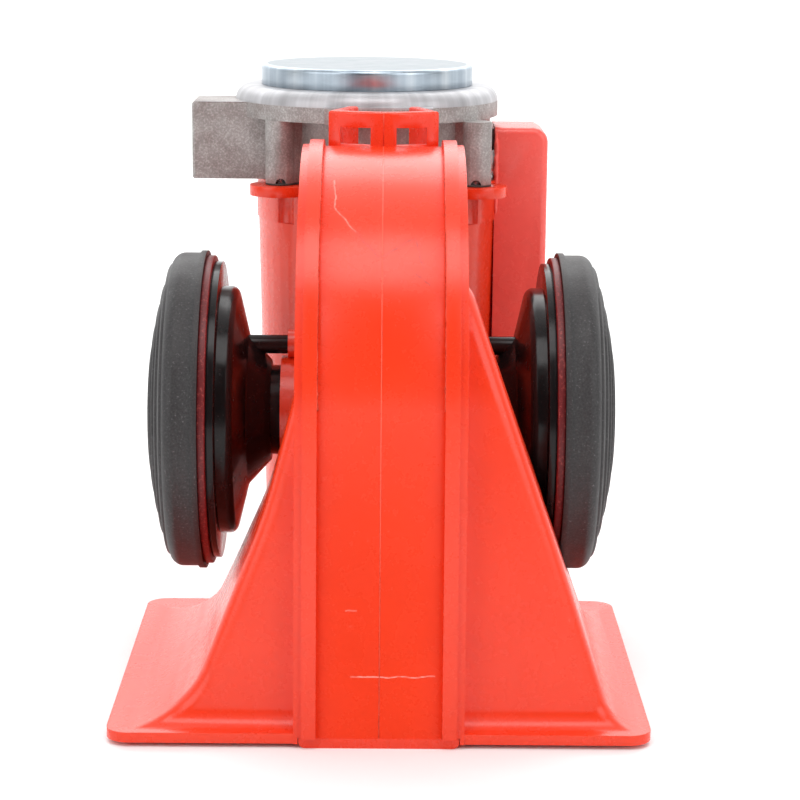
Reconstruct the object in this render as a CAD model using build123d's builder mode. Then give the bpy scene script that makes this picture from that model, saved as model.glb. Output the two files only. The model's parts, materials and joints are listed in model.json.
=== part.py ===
from build123d import *
from math import acos, asin, atan2, cos, degrees, hypot, sin, sqrt
import os

# Compact twin-tone air horn. Two snail trumpets share one centre moulding, each
# blown by its own round driver, and an electric vane pump stands behind them.
# Frame: X to the right, Y from the front edge back to the motor, Z up.
# The origin is the middle of the mouth, on the face that the horn stands on.
# A size ending in "back" is measured from the front edge of the mouth.

# Mouth and snail outline
mouth_depth = 81.0
mouth_half_width = 47.3
lip_lift = 0.8
lip_thickness = 1.8
lip_corner_radius = 4.0
wall = 2.2
crown_radius = 43.1
crown_back = 47.0
crown_centre_z = 55.8
rear_wall_back = 68.0
rear_corner_radius = 6.0
rear_flare_radius = 24.0
foot_half_width = 13.9
foot_height = 1.8
foot_corner_radius = 1.2
foot_gap = 0.1

# Widths across the snail
band_half_width = 10.9
strip_width = 3.85
strip_flat_width = 2.5
strip_proud = 1.2
strip_step = 0.9
side_wall = 2.0
divider_thickness = 2.0

# Bell flares of the two side shells
right_flare_start_z = 80.0
right_knee_reach = 30.4
right_knee_z = 35.0
right_rim_width = 6.2
right_foot_radius = 7.0
left_flare_start_z = 61.0
left_knee_reach = 20.0
left_knee_z = 40.0
left_rim_width = 12.6
left_foot_radius = 16.0
flare_knee_radius = 100.0
flare_wall = 1.8
panel_setback = 4.0
panel_foot_radius = 3.6
flare_top_back = 21.0
flare_throat_back = 26.0
flare_throat_z = 52.0
flare_shoulder_back = 50.0
flare_shoulder_z = 23.0
flare_back_rim = 8.0
flare_throat_radius = 18.0
flare_shoulder_radius = 60.0
ridge_radius = 3.0
back_ridge_radius = 6.0
ridge_lean = 0.05
foot_sink = 0.2
flare_back_foot_radius = 10.0
driver_clearance = 1.0

# Sound passage round the driver throat
driver_back = 49.0
driver_z = 49.2
scroll_radius = 12.5
scroll_wall = 2.0
air_port_radius = 0.8
rail_half_width = 2.6
tip_boss_radius = 3.2
gallery_radius = 1.4

# Throat and inlet bosses on the side shells
boss_radius = 10.2
boss_height = 4.0
throat_radius = 6.0
neck_radius = 8.4
glue_gap = 0.05
inlet_boss_radius = 2.7
inlet_boss_height = 2.8
inlet_tube_radius = 1.75

# Drivers, with every "reach" measured from the middle of the horn
neck_end_reach = 20.6
cone_foot_radius = 9.4
cone_mid_radius = 14.0
cone_mid_reach = 24.8
housing_radius = 23.2
housing_shoulder_reach = 27.0
shoulder_radius = 1.6
driver_flange_radius = 27.8
driver_flange_thickness = 1.4
driver_face_reach = 31.2
housing_wall = 1.7
seat_tube_wall = 1.8
seat_gap = 0.1
diaphragm_radius = 26.4
diaphragm_thickness = 0.4
ring_radius = 28.9
ring_inner_radius = 23.5
ring_thickness = 1.4
cap_lip_radius = 29.8
cap_lip_width = 1.1
cap_radius = 29.4
cap_skirt_width = 5.8
cap_dome_rise = 5.0
cap_edge_radius = 2.3
cap_wall = 1.7
cap_rib_radius = 0.6
cap_rib_sink = 0.25
cap_rib_count = 5
cap_rib_pitch = 3.5
cap_first_rib = 12.8

# Motor cup, part of the centre moulding
motor_x = -1.0
motor_back = 98.0
cup_top_z = 88.0
cup_collar_height = 8.0
cup_top_radius = 24.8
cup_collar_step = 0.3
cup_bottom_z = 10.0
cup_bottom_radius = 22.9
cup_wall = 2.1
cup_floor = 2.0
flange_thickness = 2.0
flange_lobe_radius = 6.0
screw_across = 19.4
screw_deep = 17.6
web_half_width = 8.0
web_bottom_z = 16.0
skirt_front_back = 83.0
skirt_notch_half_width = 5.0

# Bridge clip on the crown
clip_half_width = 10.2
clip_top_z = 105.0
clip_back = 50.0
clip_bow = 3.2
clip_wall = 2.0
clip_arm_length = 10.0
clip_toe_in = 3.4
clip_edge_radius = 0.5
clip_window_inner = 2.4
clip_window_outer = 8.0
clip_window_height = 3.2

# Air duct beside the motor
duct_lap = 1.4
duct_width = 10.7
duct_depth = 16.0
duct_top_z = 98.6
duct_bottom_z = 34.0
duct_corner_radius = 3.0
duct_edge_radius = 1.4
duct_wall = 1.8
duct_gap = 0.1
arm_height = 10.0
arm_front_back = 70.2
arm_lap = 4.2

# Pump
pump_x = -3.5
gasket_thickness = 0.4
pump_body_radius = 22.6
pump_boss_radius = 2.9
rim_z = 100.7
rim_radius = 26.6
rim_height = 5.9
rim_round_radius = 3.0
chamber_radius = 17.5
chamber_floor_z = 93.0
rotor_gap = 0.1
rotor_end_gap = 0.15
vane_thickness = 2.0
vane_length = 7.0
vane_gap = 0.08
pad_width = 21.0
pad_proud = 0.35
pad_height = 3.3
notch_radius = 1.0
notch_across = 19.2
lug_end_x = -38.2
lug_front_back = 86.0
lug_depth = 15.0
lug_height = 15.3
lug_edge_radius = 0.6
thread_radius = 3.4
thread_depth = 12.0
outlet_radius = 2.2
outlet_bore_radius = 1.2
outlet_length = 3.0
outlet_z = 95.5
plate_radius = 21.4
plate_thickness = 4.1
plate_edge_radius = 0.9

# Flange screws
screw_radius = 1.4
screw_head_radius = 2.6
screw_head_height = 1.4
screw_length = 11.0
screw_hole_gap = 0.2

# Air inlet filter at the back of the pump
filter_radius = 4.0
filter_length = 5.0
filter_spigot_radius = 2.0
filter_spigot_length = 3.0
filter_z = 95.4
inlet_bore_radius = 1.3

# Motor
can_radius = 20.0
can_wall = 1.4
can_floor_z = 18.0
can_top_z = 84.6
can_boss_radius = 6.0
socket_wall = 2.0
socket_height = 3.0
shaft_radius = 1.6
running_gap = 0.04
shaft_foot_gap = 1.0
shaft_top_z = 104.0
bearing_radius = 4.0
bearing_length = 4.0
magnet_thickness = 3.6
magnet_angle = 120.0
magnet_bottom_z = 30.0
magnet_top_z = 66.0
air_gap = 0.8
core_bottom_z = 34.0
core_top_z = 62.0
slot_count = 8
slot_width = 2.4
slot_depth = 6.0
coil_end_height = 5.0
coil_end_radius = 13.0
commutator_radius = 5.0
commutator_bottom_z = 69.0
commutator_top_z = 77.0
brush_width = 5.0
brush_height = 6.0
brush_length = 6.0
brush_gap = 0.1
brush_plate_z = 78.0
brush_plate_thickness = 2.0
brush_plate_bore = 6.5

# Blade terminals under the cup
blade_width = 6.3
blade_thickness = 0.8
blade_drop = 7.5
blade_grip = 3.0
blade_across = 12.0

# Places that follow from the sizes above
front_y = -mouth_depth / 2
shell_half_width = band_half_width + strip_width
side_inner_x = shell_half_width - side_wall
crown_y = front_y + crown_back
crown_top_z = crown_centre_z + crown_radius
rear_y = front_y + rear_wall_back
driver_y = front_y + driver_back
inlet_z = driver_z + scroll_radius
motor_y = front_y + motor_back
lip_top_z = lip_lift + lip_thickness
flange_bottom_z = cup_top_z - flange_thickness
cup_floor_z = cup_bottom_z + cup_floor
pump_base_z = cup_top_z + gasket_thickness
pump_top_z = rim_z + rim_height
rotor_radius = chamber_radius - (motor_x - pump_x) - rotor_gap
core_radius = can_radius - can_wall - magnet_thickness - air_gap
lug_y = front_y + lug_front_back + lug_depth / 2
lug_z = pump_base_z + lug_height / 2
cap_seat_reach = driver_face_reach + ring_thickness
cap_skirt_reach = cap_seat_reach + cap_skirt_width
clip_y = front_y + clip_back
arm_y = front_y + arm_front_back
arm_bore_y = (arm_y + motor_y - cup_top_radius) / 2
duct_inner_x = motor_x + cup_top_radius - duct_lap
duct_outer_x = duct_inner_x + duct_width
arm_outer_x = duct_inner_x + arm_lap
arm_bore_x = arm_outer_x - flare_wall / 2 - gallery_radius
arm_z = duct_bottom_z + arm_height / 2
far = 3 * mouth_depth
below = 10 * wall
screw_places = [
    (motor_x + side * screw_across, motor_y + end * screw_deep)
    for side in (-1, 1)
    for end in (-1, 1)
]

# Half planes for turned pieces: local x is the radius or reach, local y is up
motor_half = Plane(origin=(motor_x, motor_y, 0), x_dir=(1, 0, 0), z_dir=(0, -1, 0))
pump_half = Plane(origin=(pump_x, motor_y, 0), x_dir=(1, 0, 0), z_dir=(0, -1, 0))
driver_half = Plane(origin=(0, driver_y, driver_z), x_dir=(1, 0, 0), z_dir=(0, -1, 0))
motor_axis = Axis((motor_x, motor_y, 0), (0, 0, 1))
pump_axis = Axis((pump_x, motor_y, 0), (0, 0, 1))
driver_axis = Axis((0, driver_y, driver_z), (1, 0, 0))


def across_plane(reach, y, z):
    return Plane(origin=(reach, y, z), x_dir=(0, 1, 0), z_dir=(1, 0, 0))


def level_plane(x, y, z):
    return Plane(origin=(x, y, z), x_dir=(1, 0, 0), z_dir=(0, 0, 1))


def deep_plane(x, y, z):
    return Plane(origin=(x, y, z), x_dir=(1, 0, 0), z_dir=(0, -1, 0))


# Round plan with a lobe at each screw, shared by the flange, gasket and casting
def lobed_plan(z, round_radius, lobe_radius):
    with BuildSketch(Plane.XY.offset(z)) as plan:
        with Locations((motor_x, motor_y)):
            Circle(round_radius)
        with Locations(*screw_places):
            Circle(lobe_radius)
        for x, y in screw_places:
            with Locations(((x + motor_x) / 2, (y + motor_y) / 2)):
                Rectangle(
                    hypot(x - motor_x, y - motor_y),
                    1.6 * lobe_radius,
                    rotation=degrees(atan2(y - motor_y, x - motor_x)),
                )
    return plan.sketch


# Side outline of the snail: leaning front wall, round crown, upright rear wall
# and a rear foot that flares out to the lip. It runs on below the standing face.
foot_turn = acos(1 - (mouth_depth - rear_wall_back) / rear_flare_radius)
foot_top_z = lip_top_z + rear_flare_radius * sin(foot_turn)
foot_middle = (
    rear_y + rear_flare_radius * (1 - cos(foot_turn / 2)),
    foot_top_z - rear_flare_radius * sin(foot_turn / 2),
)
centre_distance = hypot(crown_back, crown_centre_z)
front_angle = atan2(crown_centre_z, crown_back) + asin(crown_radius / centre_distance)
front_length = sqrt(centre_distance**2 - crown_radius**2)
front_top = (front_y + front_length * cos(front_angle), front_length * sin(front_angle))
front_foot = (front_y - below * cos(front_angle), -below * sin(front_angle))
corner_y = rear_wall_back - crown_back - rear_corner_radius
corner_rise = sqrt((crown_radius - rear_corner_radius) ** 2 - corner_y**2)
corner_angle = atan2(corner_rise, corner_y)
crown_end = (
    crown_y + crown_radius * cos(corner_angle),
    crown_centre_z + crown_radius * sin(corner_angle),
)
corner_middle = (
    rear_y - rear_corner_radius * (1 - cos(corner_angle / 2)),
    crown_centre_z + corner_rise + rear_corner_radius * sin(corner_angle / 2),
)
corner_end = (rear_y, crown_centre_z + corner_rise)
with BuildSketch(Plane.YZ) as side_outline:
    with BuildLine():
        Line(front_foot, front_top)
        ThreePointArc(front_top, (crown_y, crown_top_z), crown_end)
        ThreePointArc(crown_end, corner_middle, corner_end)
        Line(corner_end, (rear_y, foot_top_z))
        ThreePointArc((rear_y, foot_top_z), foot_middle, (-front_y, lip_top_z))
        Line((-front_y, lip_top_z), (-front_y, front_foot[1]))
        Line((-front_y, front_foot[1]), front_foot)
    make_face()
with BuildSketch(Plane.YZ) as channel_outline:
    add(side_outline.sketch_local)
    offset(amount=-wall, mode=Mode.REPLACE)


# Centre moulding: rim wall, divider, scroll walls, motor cup and crown clip
clip_front = (0, clip_y)
clip_corner_y = clip_y + clip_bow
clip_end_y = clip_corner_y + clip_arm_length
clip_end_x = clip_half_width - clip_toe_in
with BuildPart() as centre_body:
    extrude(side_outline.sketch, amount=band_half_width, both=True)
    with BuildSketch(Plane.XY.offset(crown_centre_z)) as clip_plan:
        with BuildLine():
            outer_bow = ThreePointArc(
                (-clip_half_width, clip_corner_y), clip_front, (clip_half_width, clip_corner_y)
            )
            Line(outer_bow @ 1, (clip_end_x, clip_end_y))
            Line((clip_end_x, clip_end_y), (clip_end_x - clip_wall, clip_end_y))
            inner_bow = ThreePointArc(
                (clip_half_width - clip_wall, clip_corner_y + clip_wall),
                (0, clip_y + clip_wall),
                (clip_wall - clip_half_width, clip_corner_y + clip_wall),
            )
            Line((clip_end_x - clip_wall, clip_end_y), inner_bow @ 0)
            Line(inner_bow @ 1, (clip_wall - clip_end_x, clip_end_y))
            Line((clip_wall - clip_end_x, clip_end_y), (-clip_end_x, clip_end_y))
            Line((-clip_end_x, clip_end_y), outer_bow @ 0)
        make_face()
    extrude(amount=clip_top_z - crown_centre_z)
    fillet(centre_body.edges().group_by(Axis.Z)[-1], radius=clip_edge_radius)
    for side in (-1, 1):
        window_x = side * (clip_window_inner + clip_window_outer) / 2
        with Locations((window_x, clip_y, crown_top_z)):
            Box(
                clip_window_outer - clip_window_inner,
                2 * (clip_bow + clip_wall),
                clip_window_height,
                align=(Align.CENTER, Align.CENTER, Align.MIN),
                mode=Mode.SUBTRACT,
            )
    with BuildSketch(deep_plane(0, -front_y, 0)) as foot_front:
        Rectangle(2 * foot_half_width, foot_height, align=(Align.CENTER, Align.MIN))
        fillet(foot_front.vertices().group_by(Axis.Y)[0], radius=foot_corner_radius)
    extrude(amount=mouth_depth)
    extrude(channel_outline.sketch, amount=foot_half_width, both=True, mode=Mode.SUBTRACT)
    extrude(side_outline.sketch, amount=divider_thickness / 2, both=True)
    with BuildSketch(Plane.YZ) as scroll_plan:
        with Locations((driver_y, driver_z)):
            Circle(scroll_radius + scroll_wall / 2)
            Circle(scroll_radius - scroll_wall / 2, mode=Mode.SUBTRACT)
            Rectangle(far, far, align=(Align.MIN, Align.CENTER), mode=Mode.SUBTRACT)
        with Locations((driver_y, driver_z - scroll_radius)):
            Rectangle(rear_y - wall - driver_y, scroll_wall, align=(Align.MIN, Align.CENTER))
        with Locations((driver_y, inlet_z)):
            Circle(tip_boss_radius)
    extrude(amount=side_inner_x, both=True)
    with BuildSketch(Plane.XZ.offset(-rear_y)) as rail_section:
        with Locations((0, inlet_z)):
            Rectangle(2 * rail_half_width, 2 * rail_half_width)
    extrude(amount=rear_y - driver_y)
    with BuildSketch(Plane.XY.offset(web_bottom_z)) as web_plan:
        with Locations((0, rear_y - wall)):
            Rectangle(
                2 * web_half_width, motor_y - rear_y, align=(Align.CENTER, Align.MIN)
            )
    extrude(amount=flange_bottom_z - web_bottom_z)
    with BuildSketch(motor_half) as cup_outside:
        with BuildLine():
            Polyline(
                (0, cup_bottom_z),
                (cup_bottom_radius, cup_bottom_z),
                (cup_top_radius - cup_collar_step, cup_top_z - cup_collar_height),
                (cup_top_radius, cup_top_z - cup_collar_height),
                (cup_top_radius, cup_top_z),
                (0, cup_top_z),
                close=True,
            )
        make_face()
    revolve(axis=motor_axis)
    extrude(
        lobed_plan(flange_bottom_z, cup_top_radius, flange_lobe_radius),
        amount=flange_thickness,
    )
    with BuildSketch(motor_half) as cup_inside:
        with BuildLine():
            Polyline(
                (0, cup_floor_z),
                (cup_bottom_radius - cup_wall, cup_floor_z),
                (cup_top_radius - cup_wall, cup_top_z),
                (0, cup_top_z),
                close=True,
            )
        make_face()
    revolve(axis=motor_axis, mode=Mode.SUBTRACT)
    with BuildSketch(level_plane(motor_x, motor_y, 0)) as skirt_plan:
        Circle(cup_bottom_radius)
        Circle(cup_bottom_radius - cup_wall, mode=Mode.SUBTRACT)
        with Locations((0, front_y + skirt_front_back - motor_y)):
            Rectangle(far, far, align=(Align.CENTER, Align.MAX), mode=Mode.SUBTRACT)
        with Locations((0, 0)):
            Rectangle(
                2 * skirt_notch_half_width,
                far,
                align=(Align.CENTER, Align.MIN),
                mode=Mode.SUBTRACT,
            )
    extrude(amount=cup_bottom_z)
    with BuildSketch(level_plane(motor_x, motor_y, cup_floor_z)) as socket_plan:
        Circle(can_boss_radius + glue_gap + socket_wall)
        Circle(can_boss_radius + glue_gap, mode=Mode.SUBTRACT)
    extrude(amount=socket_height)
    with BuildSketch(level_plane(motor_x, motor_y, cup_bottom_z)) as blade_slots:
        with Locations((-blade_across, 0), (blade_across, 0)):
            Rectangle(blade_thickness, blade_width)
    extrude(amount=cup_floor, mode=Mode.SUBTRACT)
    with BuildSketch(Plane.XY.offset(flange_bottom_z)) as flange_holes:
        with Locations(*screw_places):
            Circle(screw_radius + screw_hole_gap)
    extrude(amount=flange_thickness, mode=Mode.SUBTRACT)
    with BuildSketch(Plane.XY.offset(flange_bottom_z)) as head_seats:
        with Locations(*screw_places):
            Circle(screw_head_radius + screw_hole_gap)
    extrude(amount=screw_head_height, mode=Mode.SUBTRACT)
    with BuildSketch(Plane.XY.offset(cup_top_z - cup_collar_height)) as head_ways:
        with Locations(*screw_places):
            Circle(screw_head_radius + screw_hole_gap)
    extrude(amount=cup_collar_height - flange_thickness, mode=Mode.SUBTRACT)
    with BuildSketch(Plane.YZ) as port_section:
        with Locations((driver_y, inlet_z)):
            Circle(air_port_radius)
    extrude(amount=side_inner_x, both=True, mode=Mode.SUBTRACT)
    with BuildSketch(deep_plane(0, arm_bore_y, inlet_z)) as rail_bore:
        Circle(gallery_radius)
    extrude(amount=arm_bore_y - driver_y, mode=Mode.SUBTRACT)
    with BuildSketch(level_plane(0, arm_bore_y, arm_z)) as web_bore:
        Circle(gallery_radius)
    extrude(amount=inlet_z - arm_z, mode=Mode.SUBTRACT)
    with BuildSketch(across_plane(0, arm_bore_y, arm_z)) as web_port:
        Circle(gallery_radius)
    extrude(amount=web_half_width, mode=Mode.SUBTRACT)
    with Locations((0, 0, 0)):
        Box(
            far,
            far,
            2 * far,
            align=(Align.CENTER, Align.CENTER, Align.MAX),
            mode=Mode.SUBTRACT,
        )


# Side profile of a bell: the front panel follows the snail outline, and the back
# wall drops from the throat, then sweeps out to the lip on two bends
def bell_side_profile(start_z, foot_z, bottom_z, inset):
    foot_y = -front_y - flare_back_rim - inset
    throat = (front_y + flare_throat_back - inset, flare_throat_z)
    shoulder = (front_y + flare_shoulder_back - inset, flare_shoulder_z)
    with BuildSketch(Plane.YZ) as back_limit:
        with BuildLine():
            Polyline(
                (-far, bottom_z),
                (-far, start_z),
                (front_y + flare_top_back - inset, start_z),
                throat,
                shoulder,
                (foot_y, foot_z),
                (foot_y, bottom_z),
                close=True,
            )
        make_face()
        fillet(back_limit.vertices().sort_by_distance(throat)[0], radius=flare_throat_radius)
        fillet(back_limit.vertices().sort_by_distance(shoulder)[0], radius=flare_shoulder_radius)
    with BuildSketch(Plane.YZ) as profile:
        add(side_outline.sketch_local)
        offset(amount=-panel_setback - inset, mode=Mode.REPLACE)
        with Locations((crown_y, bottom_z)):
            Rectangle(far, crown_centre_z - bottom_z, align=(Align.MIN, Align.MIN))
        add(back_limit.sketch_local, mode=Mode.INTERSECT)
        with Locations((0, foot_z)):
            Rectangle(mouth_depth, foot_z - bottom_z, align=(Align.CENTER, Align.MAX))
        feet = profile.vertices().filter_by_position(Axis.Y, foot_z - glue_gap, foot_z + glue_gap)
        fillet(feet.sort_by(Axis.X)[1], radius=panel_foot_radius + inset)
        back_foot = profile.vertices().sort_by_distance((foot_y, foot_z))[0]
        fillet(back_foot, radius=flare_back_foot_radius + inset)
    return profile.sketch


# Front profile of a bell: the side wall steepens above its knee and ends below in
# a hollow foot
def bell_front_profile(start_z, knee, rim_width, foot_radius, foot_z, bottom_z, inset):
    foot = (mouth_half_width - rim_width - inset, foot_z)
    bend = (knee[0] - inset, knee[1])
    with BuildSketch(deep_plane(0, -front_y, 0)) as profile:
        with BuildLine():
            Polyline(
                (band_half_width, bottom_z),
                (mouth_half_width, bottom_z),
                (mouth_half_width, foot_z),
                foot,
                bend,
                (shell_half_width - inset, start_z),
                (band_half_width, start_z),
                close=True,
            )
        make_face()
        fillet(profile.vertices().sort_by_distance(bend)[0], radius=flare_knee_radius)
        fillet(profile.vertices().sort_by_distance(foot)[0], radius=foot_radius + inset)
    return profile.sketch


# Room left round a driver, as a turned solid that the bell under it clears
def driver_envelope(gap):
    flange_reach = driver_face_reach - driver_flange_thickness
    with BuildPart() as envelope:
        with BuildSketch(driver_half):
            with BuildLine():
                Polyline(
                    (neck_end_reach - gap, 0),
                    (neck_end_reach - gap, cone_foot_radius + gap),
                    (cone_mid_reach - gap, cone_mid_radius + gap),
                    (housing_shoulder_reach - gap, housing_radius + gap),
                    (flange_reach - gap, housing_radius + gap),
                    (flange_reach - gap, cap_lip_radius + gap),
                    (far, cap_lip_radius + gap),
                    (far, 0),
                    close=True,
                )
            make_face()
        revolve(axis=driver_axis)
    return envelope.part


# True for the edges where a bell's side wall meets its front or back wall
def leans_two_ways(edge):
    direction = edge.tangent_at(0.5)
    return abs(direction.X) > ridge_lean and abs(direction.Z) > ridge_lean


# A bell as a solid, where its two profiles meet: the outer skin with no inset
# and the bore with one
def flared_bell(start_z, knee, rim_width, foot_radius, foot_z, bottom_z, inset):
    sunk_z = foot_z - foot_sink
    front = bell_front_profile(start_z, knee, rim_width, foot_radius, sunk_z, bottom_z, inset)
    side = bell_side_profile(start_z, sunk_z, bottom_z, inset)
    envelope = driver_envelope(driver_clearance + inset)
    with BuildPart() as bell:
        extrude(front, amount=mouth_depth)
        extrude(side, amount=mouth_half_width, mode=Mode.INTERSECT)
        ridges = bell.edges().filter_by(leans_two_ways)
        middle_y = front_y + flare_top_back
        back_ridge = ridges.filter_by(lambda e: e.center().Y > middle_y)
        fillet(back_ridge, radius=back_ridge_radius - inset)
        ridges = bell.edges().filter_by(leans_two_ways)
        front_ridge = ridges.filter_by(lambda e: e.center().Y < middle_y)
        fillet(front_ridge, radius=ridge_radius - inset)
        with BuildSketch(Plane.XY.offset(bottom_z)):
            with Locations((band_half_width, 0)):
                Rectangle(
                    mouth_half_width - band_half_width,
                    mouth_depth,
                    align=(Align.MIN, Align.CENTER),
                )
        extrude(amount=foot_z - bottom_z)
        add(envelope, mode=Mode.SUBTRACT)
    return bell.part


# One side shell, drawn on the right: the raised rim strip and side wall of the
# snail, the flared bell with its lip, and the two bosses that hold the driver.
def side_shell(start_z, knee, rim_width, foot_radius):
    step_x = band_half_width + strip_flat_width
    skin = flared_bell(start_z, knee, rim_width, foot_radius, lip_top_z, lip_lift, 0)
    bore = flared_bell(start_z, knee, rim_width, foot_radius, lip_lift, -below, flare_wall)
    with BuildPart() as shell:
        add(skin)
        with BuildSketch(Plane.XY) as mouth_plan:
            Rectangle(2 * mouth_half_width, mouth_depth)
            fillet(mouth_plan.vertices(), radius=lip_corner_radius)
        extrude(amount=far, mode=Mode.INTERSECT)
        with BuildSketch(Plane.YZ.offset(band_half_width)):
            add(side_outline.sketch_local)
            offset(amount=strip_proud, mode=Mode.REPLACE)
        extrude(amount=strip_flat_width)
        with BuildSketch(Plane.YZ.offset(step_x)):
            add(side_outline.sketch_local)
            offset(amount=strip_proud - strip_step, mode=Mode.REPLACE)
        extrude(amount=strip_width - strip_flat_width)
        extrude(
            channel_outline.sketch.moved(Location((band_half_width, 0, 0))),
            amount=side_inner_x - band_half_width,
            mode=Mode.SUBTRACT,
        )
        add(bore, mode=Mode.SUBTRACT)
        with BuildSketch(across_plane(side_inner_x, driver_y, driver_z)):
            Circle(boss_radius)
        extrude(amount=side_wall + boss_height)
        with BuildSketch(across_plane(side_inner_x, driver_y, inlet_z)):
            Circle(inlet_boss_radius)
        extrude(amount=side_wall + inlet_boss_height)
        with BuildSketch(across_plane(side_inner_x, driver_y, driver_z)):
            Circle(throat_radius)
        extrude(amount=side_wall, mode=Mode.SUBTRACT)
        with BuildSketch(across_plane(shell_half_width, driver_y, driver_z)):
            Circle(neck_radius + glue_gap)
        extrude(amount=boss_height, mode=Mode.SUBTRACT)
        with BuildSketch(across_plane(side_inner_x, driver_y, inlet_z)):
            Circle(air_port_radius)
        extrude(amount=side_wall, mode=Mode.SUBTRACT)
        with BuildSketch(across_plane(shell_half_width, driver_y, inlet_z)):
            Circle(inlet_tube_radius + glue_gap)
        extrude(amount=inlet_boss_height, mode=Mode.SUBTRACT)
        for top_z, reach in ((lip_lift, far), (foot_height + foot_gap, foot_half_width + foot_gap)):
            with Locations((0, 0, top_z)):
                Box(
                    2 * reach,
                    far,
                    far,
                    align=(Align.CENTER, Align.CENTER, Align.MAX),
                    mode=Mode.SUBTRACT,
                )
    return shell.part


right_knee = (right_knee_reach, right_knee_z)
left_knee = (left_knee_reach, left_knee_z)
with BuildPart() as right_shell:
    add(side_shell(right_flare_start_z, right_knee, right_rim_width, right_foot_radius))
with BuildPart() as left_shell:
    add(mirror(
        side_shell(left_flare_start_z, left_knee, left_rim_width, left_foot_radius),
        about=Plane.YZ,
    ))


# Drivers, drawn on the right and mirrored to the left
chamber_inner_radius = throat_radius + seat_tube_wall
chamber_outer_radius = housing_radius - housing_wall
chamber_foot_reach = neck_end_reach + housing_wall + seat_tube_wall / 2
with BuildPart() as right_housing:
    with BuildSketch(driver_half) as right_housing_profile:
        with BuildLine():
            Polyline(
                (shell_half_width, throat_radius),
                (shell_half_width, neck_radius),
                (neck_end_reach, neck_radius),
                (neck_end_reach, cone_foot_radius),
                (cone_mid_reach, cone_mid_radius),
                (housing_shoulder_reach, housing_radius),
                (driver_face_reach - driver_flange_thickness, housing_radius),
                (driver_face_reach - driver_flange_thickness, driver_flange_radius),
                (driver_face_reach, driver_flange_radius),
                (driver_face_reach, chamber_outer_radius),
                (housing_shoulder_reach + housing_wall, chamber_outer_radius),
                (cone_mid_reach + housing_wall, cone_mid_radius - housing_wall / 2),
                (chamber_foot_reach, chamber_inner_radius),
                (driver_face_reach - seat_gap, chamber_inner_radius),
                (driver_face_reach - seat_gap, throat_radius),
                close=True,
            )
        make_face()
        shoulder = (housing_shoulder_reach, housing_radius)
        fillet(right_housing_profile.vertices().sort_by_distance(shoulder)[0], radius=shoulder_radius)
        bend = (cone_mid_reach, cone_mid_radius)
        fillet(right_housing_profile.vertices().sort_by_distance(bend)[0], radius=shoulder_radius)
    revolve(axis=driver_axis)
    with BuildSketch(across_plane(shell_half_width, driver_y, inlet_z)):
        Circle(inlet_tube_radius)
    extrude(amount=cone_mid_reach - shell_half_width)
    with BuildSketch(across_plane(shell_half_width, driver_y, inlet_z)):
        Circle(air_port_radius)
    extrude(amount=cone_mid_reach + housing_wall - shell_half_width, mode=Mode.SUBTRACT)
with BuildPart() as left_housing:
    add(mirror(right_housing.part, about=Plane.YZ))

with BuildPart() as right_diaphragm:
    with BuildSketch(across_plane(driver_face_reach, driver_y, driver_z)):
        Circle(diaphragm_radius)
    extrude(amount=diaphragm_thickness)
with BuildPart() as left_diaphragm:
    add(mirror(right_diaphragm.part, about=Plane.YZ))

with BuildPart() as right_clamp_ring:
    with BuildSketch(across_plane(driver_face_reach, driver_y, driver_z)):
        Circle(ring_radius)
        Circle(ring_inner_radius, mode=Mode.SUBTRACT)
    extrude(amount=ring_thickness)
    with BuildSketch(across_plane(driver_face_reach, driver_y, driver_z)):
        Circle(diaphragm_radius + glue_gap)
    extrude(amount=diaphragm_thickness, mode=Mode.SUBTRACT)
with BuildPart() as left_clamp_ring:
    add(mirror(right_clamp_ring.part, about=Plane.YZ))

dome_radius = (cap_radius**2 + cap_dome_rise**2) / (2 * cap_dome_rise)
dome_centre_reach = cap_skirt_reach + cap_dome_rise - dome_radius
cap_inner_radius = cap_radius - cap_wall
dome_inner_radius = dome_radius - cap_wall


def dome_reach(radius, sphere):
    return dome_centre_reach + sqrt(sphere**2 - radius**2)


with BuildPart() as right_cap:
    with BuildSketch(driver_half):
        with BuildLine():
            Line((dome_reach(0, dome_inner_radius), 0), (dome_reach(0, dome_radius), 0))
            ThreePointArc(
                (dome_reach(0, dome_radius), 0),
                (dome_reach(cap_radius / 2, dome_radius), cap_radius / 2),
                (cap_skirt_reach, cap_radius),
            )
            Polyline(
                (cap_skirt_reach, cap_radius),
                (cap_seat_reach + cap_lip_width, cap_radius),
                (cap_seat_reach + cap_lip_width, cap_lip_radius),
                (cap_seat_reach, cap_lip_radius),
                (cap_seat_reach, cap_inner_radius),
                (dome_reach(cap_inner_radius, dome_inner_radius), cap_inner_radius),
            )
            ThreePointArc(
                (dome_reach(cap_inner_radius, dome_inner_radius), cap_inner_radius),
                (dome_reach(cap_inner_radius / 2, dome_inner_radius), cap_inner_radius / 2),
                (dome_reach(0, dome_inner_radius), 0),
            )
        make_face()
        for n in range(cap_rib_count):
            rib_place = cap_first_rib + n * cap_rib_pitch
            with Locations((dome_reach(rib_place, dome_radius) - cap_rib_sink, rib_place)):
                Circle(cap_rib_radius)
    revolve(axis=driver_axis)
    rims = right_cap.edges().filter_by(GeomType.CIRCLE)
    widest = rims.filter_by(lambda e: abs(e.radius - cap_radius) < glue_gap)
    fillet(widest.sort_by(lambda e: e.arc_center.X)[-1], radius=cap_edge_radius)
with BuildPart() as left_cap:
    add(mirror(right_cap.part, about=Plane.YZ))


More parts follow.
